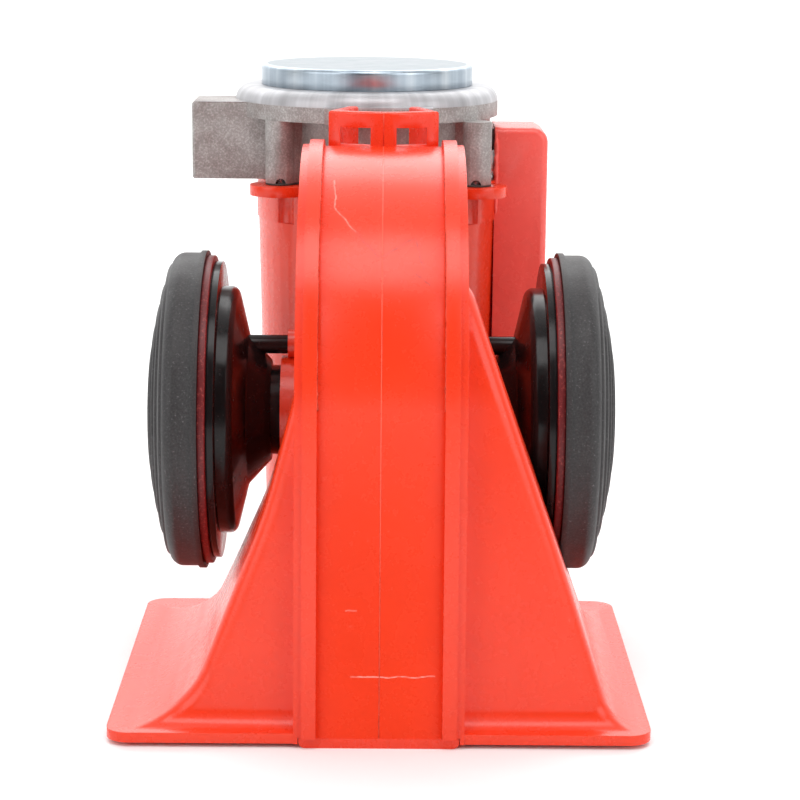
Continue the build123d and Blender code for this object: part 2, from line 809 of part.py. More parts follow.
# Air duct: a closed box beside the motor with an arm round the cup to the web
cavity_x = motor_x + cup_top_radius + duct_wall
with BuildPart() as duct_cover:
    with BuildSketch(deep_plane(0, motor_y - duct_depth / 2, 0)) as duct_face:
        with Locations((duct_inner_x, duct_bottom_z)):
            Rectangle(
                duct_outer_x - duct_inner_x,
                duct_top_z - duct_bottom_z,
                align=(Align.MIN, Align.MIN),
            )
        top_outer = duct_face.vertices().group_by(Axis.Y)[-1].sort_by(Axis.X)[-1]
        fillet(top_outer, radius=duct_corner_radius)
    extrude(amount=-duct_depth)
    outer_edges = duct_cover.edges().filter_by(Axis.Z).group_by(Axis.X)[-1]
    fillet(outer_edges, radius=duct_edge_radius)
    with BuildSketch(level_plane(0, 0, duct_bottom_z)):
        with Locations((web_half_width, arm_y)):
            Rectangle(
                arm_outer_x - web_half_width,
                motor_y - arm_y,
                align=(Align.MIN, Align.MIN),
            )
    extrude(amount=arm_height)
    with BuildSketch(motor_half):
        with BuildLine():
            Polyline(
                (0, cup_bottom_z),
                (cup_bottom_radius, cup_bottom_z),
                (cup_top_radius - cup_collar_step, cup_top_z - cup_collar_height),
                (cup_top_radius, cup_top_z - cup_collar_height),
                (cup_top_radius, cup_top_z),
                (0, cup_top_z),
                close=True,
            )
        make_face()
    revolve(axis=motor_axis, mode=Mode.SUBTRACT)
    with BuildSketch(Plane.XY.offset(flange_bottom_z)):
        with Locations(*screw_places):
            Circle(flange_lobe_radius + duct_gap)
    extrude(amount=flange_thickness, mode=Mode.SUBTRACT)
    with BuildSketch(level_plane(cavity_x, motor_y, arm_z)):
        Rectangle(
            duct_outer_x - duct_wall - cavity_x,
            duct_depth - 2 * duct_wall,
            align=(Align.MIN, Align.CENTER),
        )
    extrude(amount=duct_top_z - duct_wall - arm_z, mode=Mode.SUBTRACT)
    with BuildSketch(across_plane(web_half_width, arm_bore_y, arm_z)):
        Circle(gallery_radius)
    extrude(amount=arm_bore_x - web_half_width, mode=Mode.SUBTRACT)
    with BuildSketch(deep_plane(arm_bore_x, motor_y, arm_z)):
        Circle(gallery_radius)
    extrude(amount=motor_y - arm_bore_y, mode=Mode.SUBTRACT)
    with BuildSketch(across_plane(arm_bore_x, motor_y - gallery_radius, arm_z)):
        Circle(gallery_radius)
    extrude(amount=cavity_x + gallery_radius - arm_bore_x, mode=Mode.SUBTRACT)
    with BuildSketch(across_plane(duct_inner_x, motor_y, outlet_z)):
        Circle(outlet_radius + glue_gap)
    extrude(amount=cavity_x - duct_inner_x, mode=Mode.SUBTRACT)


# Pump casting: eccentric rim over a round body, four screw bosses and the lug
screw_reach = screw_length - flange_thickness
filter_face_y = motor_y + pump_body_radius
with BuildPart() as pump_casting:
    extrude(
        lobed_plan(pump_base_z, pump_body_radius, pump_boss_radius),
        amount=rim_z - pump_base_z,
    )
    with BuildSketch(level_plane(lug_end_x, lug_y, pump_base_z)):
        Rectangle(pump_x - lug_end_x, lug_depth, align=(Align.MIN, Align.CENTER))
    extrude(amount=lug_height)
    fillet(pump_casting.edges().group_by(Axis.X)[0], radius=lug_edge_radius)
    with BuildSketch(pump_half) as rim_profile:
        with Locations((0, rim_z)):
            Rectangle(rim_radius, rim_height, align=(Align.MIN, Align.MIN))
        rim_corner = rim_profile.vertices().group_by(Axis.Y)[-1].sort_by(Axis.X)[-1]
        fillet(rim_corner, radius=rim_round_radius)
    revolve(axis=pump_axis)
    with BuildSketch(level_plane(motor_x, motor_y, rim_z)):
        Rectangle(pad_width, rim_radius + pad_proud, align=(Align.CENTER, Align.MAX))
    extrude(amount=pad_height)
    with BuildSketch(across_plane(motor_x, motor_y, outlet_z)):
        Circle(outlet_radius)
    extrude(amount=pump_body_radius + outlet_length)
    with BuildSketch(level_plane(pump_x, motor_y, chamber_floor_z)):
        Circle(chamber_radius)
    extrude(amount=pump_top_z - chamber_floor_z, mode=Mode.SUBTRACT)
    with BuildSketch(across_plane(motor_x, motor_y, outlet_z)):
        Circle(outlet_bore_radius)
    extrude(amount=far, mode=Mode.SUBTRACT)
    with BuildSketch(deep_plane(motor_x, motor_y, filter_z)):
        Circle(inlet_bore_radius)
    extrude(amount=-far, mode=Mode.SUBTRACT)
    with BuildSketch(deep_plane(motor_x, filter_face_y - filter_spigot_length, filter_z)):
        Circle(filter_spigot_radius + glue_gap)
    extrude(amount=-far, mode=Mode.SUBTRACT)
    with BuildSketch(level_plane(motor_x, motor_y, pump_base_z)):
        Circle(shaft_radius + screw_hole_gap)
    extrude(amount=chamber_floor_z - pump_base_z, mode=Mode.SUBTRACT)
    with BuildSketch(across_plane(lug_end_x, lug_y, lug_z)):
        Circle(thread_radius)
    extrude(amount=thread_depth, mode=Mode.SUBTRACT)
    with BuildSketch(deep_plane(motor_x, motor_y - screw_deep, pump_base_z)):
        with Locations((-notch_across, 0), (notch_across, 0)):
            Circle(notch_radius)
    extrude(amount=2 * pump_boss_radius, mode=Mode.SUBTRACT)
    with BuildSketch(Plane.XY.offset(pump_base_z)):
        with Locations(*screw_places):
            Circle(screw_radius)
    extrude(amount=screw_reach, mode=Mode.SUBTRACT)

with BuildPart() as end_plate:
    with BuildSketch(level_plane(pump_x, motor_y, pump_top_z)):
        Circle(plate_radius)
    extrude(amount=plate_thickness)
    fillet(end_plate.edges().group_by(Axis.Z)[-1], radius=plate_edge_radius)

with BuildPart() as pump_gasket:
    extrude(
        lobed_plan(cup_top_z, pump_body_radius, pump_boss_radius),
        amount=gasket_thickness,
    )
    with BuildSketch(Plane.XY.offset(cup_top_z)):
        with Locations((motor_x, motor_y)):
            Circle(can_radius + glue_gap)
        with Locations(*screw_places):
            Circle(screw_radius + screw_hole_gap)
    extrude(amount=gasket_thickness, mode=Mode.SUBTRACT)

with BuildPart() as flange_screws:
    with BuildSketch(Plane.XY.offset(flange_bottom_z)):
        with Locations(*screw_places):
            Circle(screw_head_radius)
    extrude(amount=screw_head_height)
    with BuildSketch(Plane.XY.offset(flange_bottom_z)):
        with Locations(*screw_places):
            Circle(screw_radius)
    extrude(amount=screw_length)

with BuildPart() as inlet_filter:
    with BuildSketch(deep_plane(motor_x, filter_face_y + filter_length, filter_z)):
        Circle(filter_radius)
    extrude(amount=filter_length)
    with BuildSketch(deep_plane(motor_x, filter_face_y, filter_z)):
        Circle(filter_spigot_radius)
    extrude(amount=filter_spigot_length)
    with BuildSketch(deep_plane(motor_x, filter_face_y + filter_length, filter_z)):
        Circle(inlet_bore_radius)
    extrude(amount=filter_length + filter_spigot_length, mode=Mode.SUBTRACT)


# Pump rotor with its sliding vanes drawn right in
rotor_bottom_z = chamber_floor_z + rotor_end_gap
rotor_height = pump_top_z - rotor_end_gap - rotor_bottom_z
slot_middle = rotor_radius - vane_length / 2
with BuildPart() as pump_rotor:
    with BuildSketch(level_plane(motor_x, motor_y, rotor_bottom_z)):
        Circle(rotor_radius)
        Circle(shaft_radius, mode=Mode.SUBTRACT)
        with PolarLocations(slot_middle, 4):
            Rectangle(vane_length + 2 * vane_gap, vane_thickness + 2 * vane_gap, mode=Mode.SUBTRACT)
    extrude(amount=rotor_height)


def vane(angle):
    with BuildPart() as blade:
        with BuildSketch(level_plane(motor_x, motor_y, rotor_bottom_z)):
            with PolarLocations(slot_middle - vane_gap, 1, start_angle=angle):
                Rectangle(vane_length, vane_thickness)
        extrude(amount=rotor_height)
    return blade.part


with BuildPart() as vane_right:
    add(vane(0))
with BuildPart() as vane_back:
    add(vane(90))
with BuildPart() as vane_left:
    add(vane(180))
with BuildPart() as vane_front:
    add(vane(270))


# Motor can, end plate, bearings and magnets
end_plate_top_z = pump_base_z
lower_bearing_z = cup_floor_z + shaft_foot_gap
with BuildPart() as motor_can:
    with BuildSketch(level_plane(motor_x, motor_y, can_floor_z)):
        Circle(can_radius)
    extrude(amount=can_top_z - can_floor_z)
    with BuildSketch(level_plane(motor_x, motor_y, cup_floor_z)):
        Circle(can_boss_radius)
    extrude(amount=can_floor_z - cup_floor_z)
    with BuildSketch(level_plane(motor_x, motor_y, can_floor_z + can_wall)):
        Circle(can_radius - can_wall)
    extrude(amount=can_top_z - can_floor_z, mode=Mode.SUBTRACT)
    with BuildSketch(level_plane(motor_x, motor_y, lower_bearing_z)):
        Circle(bearing_radius)
    extrude(amount=can_top_z - lower_bearing_z, mode=Mode.SUBTRACT)

with BuildPart() as motor_end_plate:
    with BuildSketch(level_plane(motor_x, motor_y, can_top_z)):
        Circle(can_radius)
        Circle(bearing_radius, mode=Mode.SUBTRACT)
    extrude(amount=end_plate_top_z - can_top_z)


def bearing(bottom_z, length):
    with BuildPart() as bush:
        with BuildSketch(level_plane(motor_x, motor_y, bottom_z)):
            Circle(bearing_radius)
            Circle(shaft_radius + running_gap, mode=Mode.SUBTRACT)
        extrude(amount=length)
    return bush.part


with BuildPart() as lower_bearing:
    add(bearing(lower_bearing_z, bearing_length))
with BuildPart() as upper_bearing:
    add(bearing(can_top_z, end_plate_top_z - can_top_z))


def magnet(middle_angle):
    outer = can_radius - can_wall
    with BuildPart() as arc:
        with BuildSketch(level_plane(motor_x, motor_y, magnet_bottom_z)):
            with BuildLine():
                outside = CenterArc((0, 0), outer, middle_angle - magnet_angle / 2, magnet_angle)
                inside = CenterArc(
                    (0, 0),
                    outer - magnet_thickness,
                    middle_angle - magnet_angle / 2,
                    magnet_angle,
                )
                Line(outside @ 0, inside @ 0)
                Line(outside @ 1, inside @ 1)
            make_face()
        extrude(amount=magnet_top_z - magnet_bottom_z)
    return arc.part


with BuildPart() as right_magnet:
    add(magnet(0))
with BuildPart() as left_magnet:
    add(magnet(180))


# Armature: shaft, slotted core, one winding through the slots, commutator
slot_place = core_radius - slot_depth / 2
slot_floor_radius = hypot(core_radius - slot_depth, slot_width / 2)
with BuildPart() as motor_shaft:
    with BuildSketch(level_plane(motor_x, motor_y, lower_bearing_z + running_gap)):
        Circle(shaft_radius)
    extrude(amount=shaft_top_z - lower_bearing_z - running_gap)

with BuildPart() as armature_core:
    with BuildSketch(level_plane(motor_x, motor_y, core_bottom_z)):
        Circle(core_radius)
        Circle(shaft_radius, mode=Mode.SUBTRACT)
        with PolarLocations(slot_place, slot_count):
            Rectangle(slot_depth, slot_width, mode=Mode.SUBTRACT)
    extrude(amount=core_top_z - core_bottom_z)

with BuildPart() as armature_winding:
    for end_z in (core_bottom_z - coil_end_height, core_top_z):
        with BuildSketch(level_plane(motor_x, motor_y, end_z)):
            Circle(coil_end_radius)
            Circle(shaft_radius, mode=Mode.SUBTRACT)
        extrude(amount=coil_end_height)
    with BuildSketch(level_plane(motor_x, motor_y, core_bottom_z)):
        Circle(coil_end_radius)
        Circle(slot_floor_radius, mode=Mode.SUBTRACT)
        with PolarLocations(slot_place, slot_count):
            Rectangle(2 * slot_depth, slot_width, mode=Mode.INTERSECT)
    extrude(amount=core_top_z - core_bottom_z)

with BuildPart() as commutator:
    with BuildSketch(level_plane(motor_x, motor_y, commutator_bottom_z)):
        Circle(commutator_radius)
        Circle(shaft_radius, mode=Mode.SUBTRACT)
    extrude(amount=commutator_top_z - commutator_bottom_z)


# Brush plate with its two carbon brushes, and the blade terminals
with BuildPart() as brush_plate:
    with BuildSketch(level_plane(motor_x, motor_y, brush_plate_z)):
        Circle(can_radius - can_wall)
        Circle(brush_plate_bore, mode=Mode.SUBTRACT)
    extrude(amount=brush_plate_thickness)


def brush(side):
    middle = commutator_radius + brush_gap + brush_length / 2
    with BuildPart() as carbon:
        with BuildSketch(level_plane(motor_x + side * middle, motor_y, brush_plate_z)):
            Rectangle(brush_length, brush_width)
        extrude(amount=-brush_height)
    return carbon.part


with BuildPart() as right_brush:
    add(brush(1))
with BuildPart() as left_brush:
    add(brush(-1))


def blade(side):
    with BuildPart() as tab:
        with BuildSketch(
            level_plane(motor_x + side * blade_across, motor_y, cup_bottom_z - blade_drop)
        ):
            Rectangle(blade_thickness, blade_width)
        extrude(amount=blade_drop + cup_floor + blade_grip)
    return tab.part


with BuildPart() as right_blade:
    add(blade(1))
with BuildPart() as left_blade:
    add(blade(-1))


os.makedirs("parts", exist_ok=True)
centre_body.part.label = "centre_body"
export_step(centre_body.part, "parts/centre_body.step")
right_shell.part.label = "right_shell"
export_step(right_shell.part, "parts/right_shell.step")
left_shell.part.label = "left_shell"
export_step(left_shell.part, "parts/left_shell.step")
right_housing.part.label = "right_housing"
export_step(right_housing.part, "parts/right_housing.step")
left_housing.part.label = "left_housing"
export_step(left_housing.part, "parts/left_housing.step")
right_diaphragm.part.label = "right_diaphragm"
export_step(right_diaphragm.part, "parts/right_diaphragm.step")
left_diaphragm.part.label = "left_diaphragm"
export_step(left_diaphragm.part, "parts/left_diaphragm.step")
right_clamp_ring.part.label = "right_clamp_ring"
export_step(right_clamp_ring.part, "parts/right_clamp_ring.step")
left_clamp_ring.part.label = "left_clamp_ring"
export_step(left_clamp_ring.part, "parts/left_clamp_ring.step")
right_cap.part.label = "right_cap"
export_step(right_cap.part, "parts/right_cap.step")
left_cap.part.label = "left_cap"
export_step(left_cap.part, "parts/left_cap.step")
duct_cover.part.label = "duct_cover"
export_step(duct_cover.part, "parts/duct_cover.step")
pump_casting.part.label = "pump_casting"
export_step(pump_casting.part, "parts/pump_casting.step")
end_plate.part.label = "end_plate"
export_step(end_plate.part, "parts/end_plate.step")
pump_gasket.part.label = "pump_gasket"
export_step(pump_gasket.part, "parts/pump_gasket.step")
flange_screws.part.label = "flange_screws"
export_step(flange_screws.part, "parts/flange_screws.step")
inlet_filter.part.label = "inlet_filter"
export_step(inlet_filter.part, "parts/inlet_filter.step")
pump_rotor.part.label = "pump_rotor"
export_step(pump_rotor.part, "parts/pump_rotor.step")
vane_right.part.label = "vane_right"
export_step(vane_right.part, "parts/vane_right.step")
vane_back.part.label = "vane_back"
export_step(vane_back.part, "parts/vane_back.step")
vane_left.part.label = "vane_left"
export_step(vane_left.part, "parts/vane_left.step")
vane_front.part.label = "vane_front"
export_step(vane_front.part, "parts/vane_front.step")
motor_can.part.label = "motor_can"
export_step(motor_can.part, "parts/motor_can.step")
motor_end_plate.part.label = "motor_end_plate"
export_step(motor_end_plate.part, "parts/motor_end_plate.step")
lower_bearing.part.label = "lower_bearing"
export_step(lower_bearing.part, "parts/lower_bearing.step")
upper_bearing.part.label = "upper_bearing"
export_step(upper_bearing.part, "parts/upper_bearing.step")
right_magnet.part.label = "right_magnet"
export_step(right_magnet.part, "parts/right_magnet.step")
left_magnet.part.label = "left_magnet"
export_step(left_magnet.part, "parts/left_magnet.step")
motor_shaft.part.label = "motor_shaft"
export_step(motor_shaft.part, "parts/motor_shaft.step")
armature_core.part.label = "armature_core"
export_step(armature_core.part, "parts/armature_core.step")
armature_winding.part.label = "armature_winding"
export_step(armature_winding.part, "parts/armature_winding.step")
commutator.part.label = "commutator"
export_step(commutator.part, "parts/commutator.step")
brush_plate.part.label = "brush_plate"
export_step(brush_plate.part, "parts/brush_plate.step")
right_brush.part.label = "right_brush"
export_step(right_brush.part, "parts/right_brush.step")
left_brush.part.label = "left_brush"
export_step(left_brush.part, "parts/left_brush.step")
right_blade.part.label = "right_blade"
export_step(right_blade.part, "parts/right_blade.step")
left_blade.part.label = "left_blade"
export_step(left_blade.part, "parts/left_blade.step")
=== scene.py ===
import json
from math import atan2, cos, hypot, pi, radians, sin

import bpy
from mathutils import Matrix, Vector, noise

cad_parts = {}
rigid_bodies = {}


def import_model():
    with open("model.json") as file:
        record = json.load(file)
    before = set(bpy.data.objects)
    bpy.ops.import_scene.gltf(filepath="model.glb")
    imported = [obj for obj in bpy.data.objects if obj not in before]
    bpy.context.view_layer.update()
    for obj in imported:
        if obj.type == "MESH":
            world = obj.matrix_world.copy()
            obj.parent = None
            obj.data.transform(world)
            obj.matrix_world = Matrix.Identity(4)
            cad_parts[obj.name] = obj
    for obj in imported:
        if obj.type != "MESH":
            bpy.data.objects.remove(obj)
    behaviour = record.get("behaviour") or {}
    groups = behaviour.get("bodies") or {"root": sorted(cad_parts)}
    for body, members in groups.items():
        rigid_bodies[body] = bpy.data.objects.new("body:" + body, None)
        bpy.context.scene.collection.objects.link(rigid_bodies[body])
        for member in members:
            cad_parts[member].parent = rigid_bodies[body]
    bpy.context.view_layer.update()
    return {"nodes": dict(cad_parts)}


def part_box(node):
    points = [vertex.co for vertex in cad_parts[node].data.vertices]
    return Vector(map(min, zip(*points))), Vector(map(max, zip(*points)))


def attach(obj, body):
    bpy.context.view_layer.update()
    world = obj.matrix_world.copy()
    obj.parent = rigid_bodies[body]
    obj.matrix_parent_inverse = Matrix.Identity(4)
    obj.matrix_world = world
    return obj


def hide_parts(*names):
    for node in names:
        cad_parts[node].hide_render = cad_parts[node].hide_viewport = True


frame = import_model()
millimetre = 0.001


# ---------------------------------------------------------------- colours and nodes

# One sRGB hex value as a linear colour
def to_linear(hex_value):
    channels = [int(hex_value[i:i + 2], 16) / 255 for i in (1, 3, 5)]
    linear = [c / 12.92 if c <= 0.04045 else ((c + 0.055) / 1.055) ** 2.4 for c in channels]
    return (*linear, 1.0)


# One node, with its settings as keywords, its sockets given a value or a link, and
# its colour stops where it has a ramp
def add_node(material, kind, sockets=None, stops=(), **settings):
    node = material.node_tree.nodes.new(kind)
    for name, value in settings.items():
        setattr(node, name, value)
    for name, value in (sockets or {}).items():
        if isinstance(value, bpy.types.NodeSocket):
            material.node_tree.links.new(value, node.inputs[name])
        else:
            node.inputs[name].default_value = value
    if stops:
        ends = node.color_ramp.elements
        ends[0].position, ends[0].color = stops[0]
        ends[1].position, ends[1].color = stops[-1]
        for position, colour in stops[1:-1]:
            ends.new(position).color = colour
    return node


def new_material(name):
    material = bpy.data.materials.new(name)
    material.use_nodes = True
    material.node_tree.nodes.clear()
    return material


def grey(value):
    return (value, value, value, 1.0)


# The noise scale that gives grains of one size in millimetres
def per_mm(size):
    return 1 / (size * millimetre)


# ---------------------------------------------------------------- materials

# Injection-moulded ABS: a glossy skin over an even colour, with slight flow
# mottling, pale dust specks, tinted scratches where marks are given, and handling
# that dulls the shine a little.
def moulded_red_abs(name, dark, pale, dusty, marks=()):
    material = new_material(name)
    place = add_node(material, "ShaderNodeTexCoord").outputs["Object"]
    flow = add_node(material, "ShaderNodeTexNoise", {
        "Vector": place, "Scale": per_mm(14.0), "Detail": 2.0,
    })
    colour = add_node(material, "ShaderNodeValToRGB", {"Fac": flow.outputs["Fac"]}, [
        (0.3, to_linear(dark)), (0.7, to_linear(pale)),
    ]).outputs["Color"]
    dust = add_node(material, "ShaderNodeTexNoise", {
        "Vector": place, "Scale": per_mm(0.9), "Detail": 1.0,
    })
    specks = add_node(material, "ShaderNodeValToRGB", {"Fac": dust.outputs["Fac"]}, [
        (0.76, grey(0.0)), (0.82, grey(0.4)),
    ])
    colour = add_node(material, "ShaderNodeMix", {
        0: specks.outputs["Color"], 6: colour, 7: to_linear(dusty),
    }, data_type="RGBA").outputs[2]
    for start, end, width, strength, tint in marks:
        shown = add_node(material, "ShaderNodeMath", {
            0: scratch(material, place, start, end, width), 1: strength,
        }, operation="MULTIPLY")
        colour = add_node(material, "ShaderNodeMix", {
            0: shown.outputs[0], 6: colour, 7: to_linear(tint),
        }, data_type="RGBA").outputs[2]
    handling = add_node(material, "ShaderNodeTexNoise", {
        "Vector": place, "Scale": per_mm(5.0), "Detail": 5.0, "Roughness": 0.65,
    })
    shine = add_node(material, "ShaderNodeValToRGB", {"Fac": handling.outputs["Fac"]}, [
        (0.35, grey(0.26)), (0.7, grey(0.29)),
    ])
    waves = add_node(material, "ShaderNodeTexNoise", {
        "Vector": place, "Scale": per_mm(7.0), "Detail": 1.0,
    })
    bump = add_node(material, "ShaderNodeBump", {
        "Strength": 0.05, "Distance": 0.2 * millimetre, "Height": waves.outputs["Fac"],
    })
    shader = add_node(material, "ShaderNodeBsdfPrincipled", {
        "Base Color": colour,
        "Roughness": shine.outputs["Color"],
        "IOR": 1.5,
        "Normal": bump.outputs["Normal"],
    })
    add_node(material, "ShaderNodeOutputMaterial", {"Surface": shader.outputs["BSDF"]})
    return material


# 1 inside a straight scratch on the front of the rim wall, from start to end in X
# and Z, and 0 beside it. It wanders a little and fades in patches.
def scratch(material, place, start, end, width):
    length = hypot(end[0] - start[0], end[1] - start[1])
    run, rise = (end[0] - start[0]) / length, (end[1] - start[1]) / length
    offset = add_node(material, "ShaderNodeVectorMath", {
        0: place, 1: (start[0] * millimetre, 0, start[1] * millimetre),
    }, operation="SUBTRACT").outputs[0]
    along = add_node(material, "ShaderNodeVectorMath", {
        0: offset, 1: (run, 0, rise),
    }, operation="DOT_PRODUCT").outputs["Value"]
    across = add_node(material, "ShaderNodeVectorMath", {
        0: offset, 1: (-rise, 0, run),
    }, operation="DOT_PRODUCT").outputs["Value"]
    wander = add_node(material, "ShaderNodeTexNoise", {
        "Vector": place, "Scale": per_mm(2.5), "Detail": 3.0,
    }).outputs["Fac"]
    middle = add_node(material, "ShaderNodeMath", {
        0: wander, 1: 0.8 * millimetre, 2: -0.4 * millimetre,
    }, operation="MULTIPLY_ADD").outputs[0]
    within_width = add_node(material, "ShaderNodeMath", {
        0: across, 1: middle, 2: width / 2 * millimetre,
    }, operation="COMPARE").outputs[0]
    within_length = add_node(material, "ShaderNodeMath", {
        0: along, 1: length / 2 * millimetre, 2: length / 2 * millimetre,
    }, operation="COMPARE").outputs[0]
    parts = add_node(material, "ShaderNodeSeparateXYZ", {"Vector": place})
    in_front = add_node(material, "ShaderNodeMath", {
        0: parts.outputs["Y"], 1: -9 * millimetre,
    }, operation="LESS_THAN").outputs[0]
    patches = add_node(material, "ShaderNodeTexNoise", {
        "Vector": place, "Scale": per_mm(1.2), "Detail": 2.0,
    })
    shown = add_node(material, "ShaderNodeValToRGB", {"Fac": patches.outputs["Fac"]}, [
        (0.4, grey(0.45)), (0.6, grey(1.0)),
    ]).outputs["Color"]
    for limit in (within_width, within_length, in_front):
        shown = add_node(material, "ShaderNodeMath", {
            0: shown, 1: limit,
        }, operation="MULTIPLY").outputs[0]
    return shown


# Injection-moulded ABS in black: a mirror-like tool finish that shows dust and fine
# scratches in its highlights.
def moulded_black_abs(name):
    material = new_material(name)
    place = add_node(material, "ShaderNodeTexCoord").outputs["Object"]
    dust = add_node(material, "ShaderNodeTexNoise", {
        "Vector": place, "Scale": per_mm(0.5), "Detail": 2.0,
    })
    colour = add_node(material, "ShaderNodeValToRGB", {"Fac": dust.outputs["Fac"]}, [
        (0.0, to_linear("#151314")), (0.70, to_linear("#1A1718")), (0.78, to_linear("#45393A")),
    ])
    haze = add_node(material, "ShaderNodeTexNoise", {
        "Vector": place, "Scale": per_mm(2.5), "Detail": 6.0, "Roughness": 0.7,
    })
    shine = add_node(material, "ShaderNodeValToRGB", {"Fac": haze.outputs["Fac"]}, [
        (0.35, grey(0.16)), (0.7, grey(0.30)),
    ])
    shader = add_node(material, "ShaderNodeBsdfPrincipled", {
        "Base Color": colour.outputs["Color"],
        "Roughness": shine.outputs["Color"],
        "Specular IOR Level": 0.26,
    })
    add_node(material, "ShaderNodeOutputMaterial", {"Surface": shader.outputs["BSDF"]})
    return material


# Glass-filled nylon from a spark-eroded tool: dark grey, matt and finely pebbled,
# with a few pale scuffs. The pebbles are about 0.25 mm, drawn at 0.4 mm to show.
def pebbled_grey_nylon(name):
    material = new_material(name)
    place = add_node(material, "ShaderNodeTexCoord").outputs["Object"]
    pebble = add_node(material, "ShaderNodeTexNoise", {
        "Vector": place, "Scale": per_mm(0.4), "Detail": 2.0, "Roughness": 0.6,
    })
    colour = add_node(material, "ShaderNodeValToRGB", {"Fac": pebble.outputs["Fac"]}, [
        (0.35, to_linear("#201E1F")), (0.65, to_linear("#302E2F")), (0.82, to_linear("#6B686A")),
    ])
    cloud = add_node(material, "ShaderNodeTexNoise", {
        "Vector": place, "Scale": per_mm(6.0), "Detail": 4.0,
    })
    shine = add_node(material, "ShaderNodeValToRGB", {"Fac": cloud.outputs["Fac"]}, [
        (0.3, grey(0.48)), (0.7, grey(0.60)),
    ])
    bump = add_node(material, "ShaderNodeBump", {
        "Strength": 0.3, "Distance": 0.1 * millimetre, "Height": pebble.outputs["Fac"],
    })
    shader = add_node(material, "ShaderNodeBsdfPrincipled", {
        "Base Color": colour.outputs["Color"],
        "Roughness": shine.outputs["Color"],
        "IOR": 1.5,
        "Normal": bump.outputs["Normal"],
    })
    add_node(material, "ShaderNodeOutputMaterial", {"Surface": shader.outputs["BSDF"]})
    return material


# Acetal clamp ring of the body's red, drawn dark rose red as painted shade for the shadow it
# sits in: satin, speckled with dust at its edge.
def speckled_acetal_painted_shade(name):
    material = new_material(name)
    place = add_node(material, "ShaderNodeTexCoord").outputs["Object"]
    dust = add_node(material, "ShaderNodeTexNoise", {
        "Vector": place, "Scale": per_mm(0.5), "Detail": 2.0, "Roughness": 0.6,
    })
    # Dark rose reds: the body's red darkened with painted shade, with pale dust specks
    colour = add_node(material, "ShaderNodeValToRGB", {"Fac": dust.outputs["Fac"]}, [
        (0.0, to_linear("#5C1618")), (0.55, to_linear("#6C1C1F")), (0.74, to_linear("#A34A47")),
    ])
    shine = add_node(material, "ShaderNodeValToRGB", {"Fac": dust.outputs["Fac"]}, [
        (0.3, grey(0.36)), (0.7, grey(0.5)),
    ])
    shader = add_node(material, "ShaderNodeBsdfPrincipled", {
        "Base Color": colour.outputs["Color"],
        "Roughness": shine.outputs["Color"],
        "Specular IOR Level": 0.4,
    })
    add_node(material, "ShaderNodeOutputMaterial", {"Surface": shader.outputs["BSDF"]})
    return material


# Die-cast zinc-aluminium, tumbled but not painted: grey, with a sparkling grain of
# about 0.3 mm, drawn at 0.4 mm, and cloudy stains. Above turned_z its rim is turned
# smooth, with tool marks that run round it.
def die_cast_aluminium(name, centre, turned_z):
    material = new_material(name)
    place = add_node(material, "ShaderNodeTexCoord").outputs["Object"]
    sparkle = add_node(material, "ShaderNodeTexNoise", {
        "Vector": place, "Scale": per_mm(0.4), "Detail": 3.0, "Roughness": 0.7,
    })
    grain = add_node(material, "ShaderNodeValToRGB", {"Fac": sparkle.outputs["Fac"]}, [
        (0.30, to_linear("#9A9694")), (0.50, to_linear("#A8A4A2")), (0.74, to_linear("#D0CDCC")),
    ])
    cloud = add_node(material, "ShaderNodeTexNoise", {
        "Vector": place, "Scale": per_mm(5.0), "Detail": 4.0,
    })
    stain = add_node(material, "ShaderNodeValToRGB", {"Fac": cloud.outputs["Fac"]}, [
        (0.35, to_linear("#D2C9C6")), (0.65, to_linear("#FFFFFF")),
    ])
    rough_cast = add_node(material, "ShaderNodeMix", {
        0: 0.8, 6: grain.outputs["Color"], 7: stain.outputs["Color"],
    }, data_type="RGBA", blend_type="MULTIPLY")
    centred = add_node(material, "ShaderNodeVectorMath", {
        0: place, 1: centre,
    }, operation="SUBTRACT")
    parts = add_node(material, "ShaderNodeSeparateXYZ", {"Vector": centred.outputs[0]})
    turn = add_node(material, "ShaderNodeMath", {
        0: parts.outputs["Y"], 1: parts.outputs["X"],
    }, operation="ARCTAN2")
    round_axis = add_node(material, "ShaderNodeCombineXYZ", {"X": turn.outputs[0]})
    streak = add_node(material, "ShaderNodeTexNoise", {
        "Vector": round_axis.outputs[0], "Scale": 7.0, "Detail": 4.0, "Roughness": 0.6,
    })
    turned = add_node(material, "ShaderNodeValToRGB", {"Fac": streak.outputs["Fac"]}, [
        (0.35, to_linear("#A09FA2")), (0.65, to_linear("#C2C2C5")),
    ])
    height = add_node(material, "ShaderNodeSeparateXYZ", {"Vector": place}).outputs["Z"]
    smooth = add_node(material, "ShaderNodeMath", {
        0: height, 1: turned_z,
    }, operation="GREATER_THAN").outputs[0]
    colour = add_node(material, "ShaderNodeMix", {
        0: smooth, 6: rough_cast.outputs[2], 7: turned.outputs["Color"],
    }, data_type="RGBA")
    depth = add_node(material, "ShaderNodeMath", {
        0: smooth, 1: -0.45, 2: 0.5,
    }, operation="MULTIPLY_ADD")
    bump = add_node(material, "ShaderNodeBump", {
        "Strength": depth.outputs[0],
        "Distance": 0.08 * millimetre,
        "Height": sparkle.outputs["Fac"],
    })
    shine = add_node(material, "ShaderNodeMath", {
        0: smooth, 1: -0.15, 2: 0.55,
    }, operation="MULTIPLY_ADD")
    shader = add_node(material, "ShaderNodeBsdfPrincipled", {
        "Base Color": colour.outputs[2],
        "Metallic": 0.35,
        "Roughness": shine.outputs[0],
        "Normal": bump.outputs["Normal"],
    })
    add_node(material, "ShaderNodeOutputMaterial", {"Surface": shader.outputs["BSDF"]})
    return material


